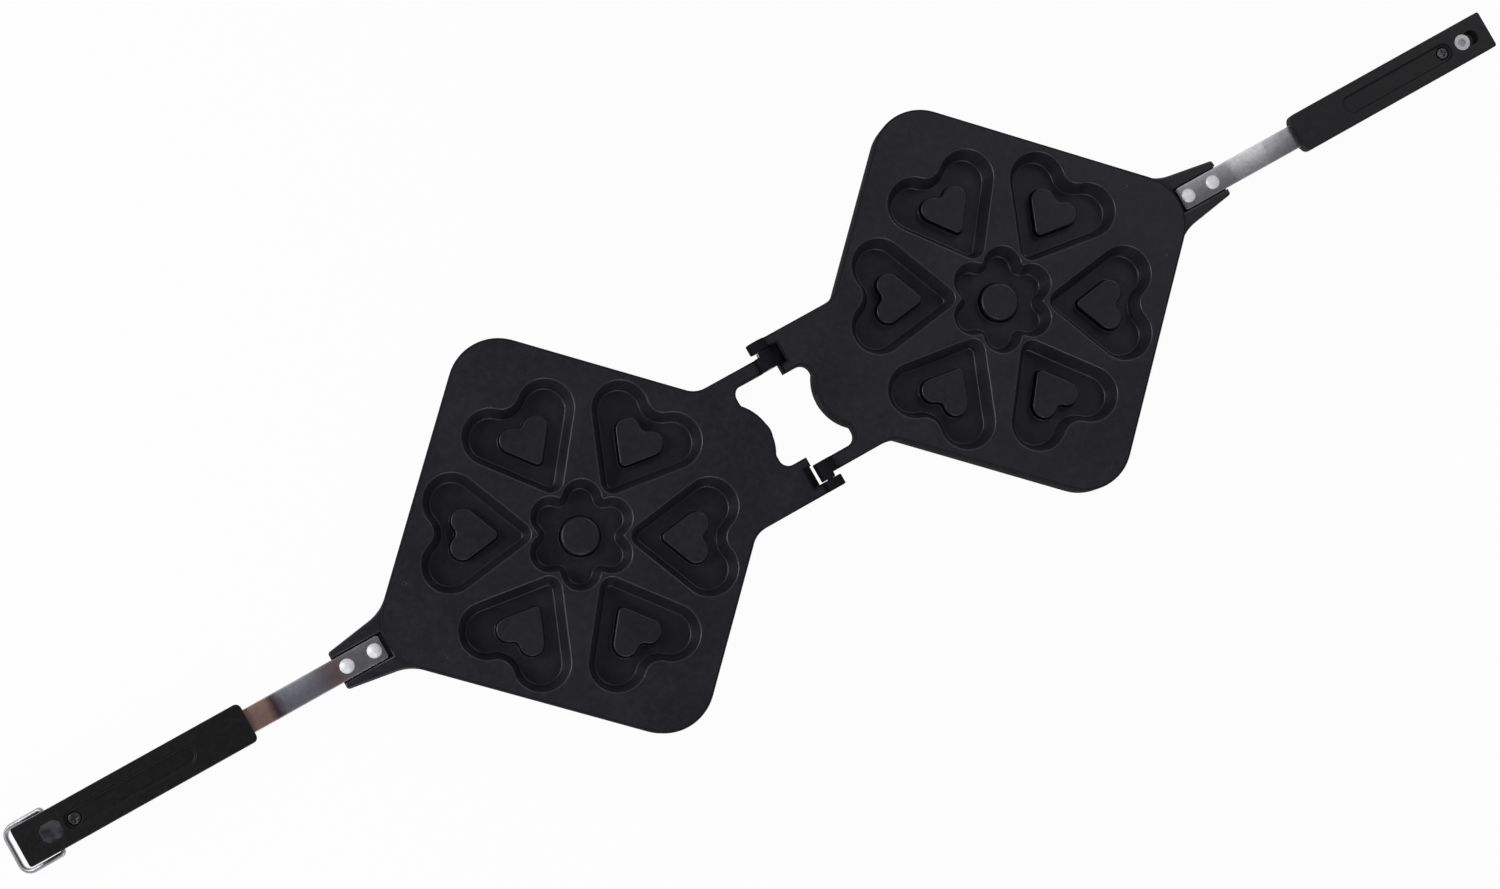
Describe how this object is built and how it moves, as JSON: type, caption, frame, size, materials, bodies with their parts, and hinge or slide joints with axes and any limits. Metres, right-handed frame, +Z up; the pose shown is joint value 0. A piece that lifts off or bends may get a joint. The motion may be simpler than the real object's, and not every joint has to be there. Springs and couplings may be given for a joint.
{
  "type": "stovetop waffle iron",
  "caption": "Hinged stovetop iron lying open: cast plates with heart and flower cavities, riveted strap handles with half-grips, and a wire bail that latches it shut.",
  "frame": {"origin": "on the resting surface, under the middle of the hinge", "axes": "+X along the grips towards the right grip, +Y across, +Z up out of the cavities"},
  "size_m": [0.8211, 0.2064, 0.0192],
  "materials": {
    "nonstick": "cast aluminium under a satin charcoal non-stick coating",
    "pin_steel": "turned steel",
    "strap_steel": "bright flat bar, lengthwise brushed, heat tinted near the grip",
    "rivet_aluminium": "bright pressed heads",
    "grip_moulding": "black moulded phenolic, satin",
    "screw_steel": "dark plated",
    "magnet": "dull grey, fine grained",
    "striker_plating": "plated, satin",
    "bail_wire": "plated round wire"
  },
  "bodies": {
    "left_half": {"left_plate": "nonstick", "left_hinge_pin": "pin_steel", "left_strap": "strap_steel", "left_rivets": "rivet_aluminium", "left_grip": "grip_moulding", "left_grip_screw": "screw_steel", "latch_magnet": "magnet"},
    "right_half": {"right_plate": "nonstick", "right_hinge_pin": "pin_steel", "right_strap": "strap_steel", "right_rivets": "rivet_aluminium", "right_grip": "grip_moulding", "right_grip_screw": "screw_steel", "striker_disc": "striker_plating"},
    "bail": {"latch_bail": "bail_wire"}
  },
  "joints": [
    {"name": "fold_hinge", "type": "hinge", "parent": "left_half", "child": "right_half", "pos_m": [0, 0, 0.0142], "axis": [0, -1, 0], "range_deg": [0, 180]},
    {"name": "bail_swing", "type": "hinge", "parent": "left_half", "child": "bail", "pos_m": [-0.39211, 0, 0.00794], "axis": [0, 1, 0], "range_deg": [0, 139]}
  ]
}
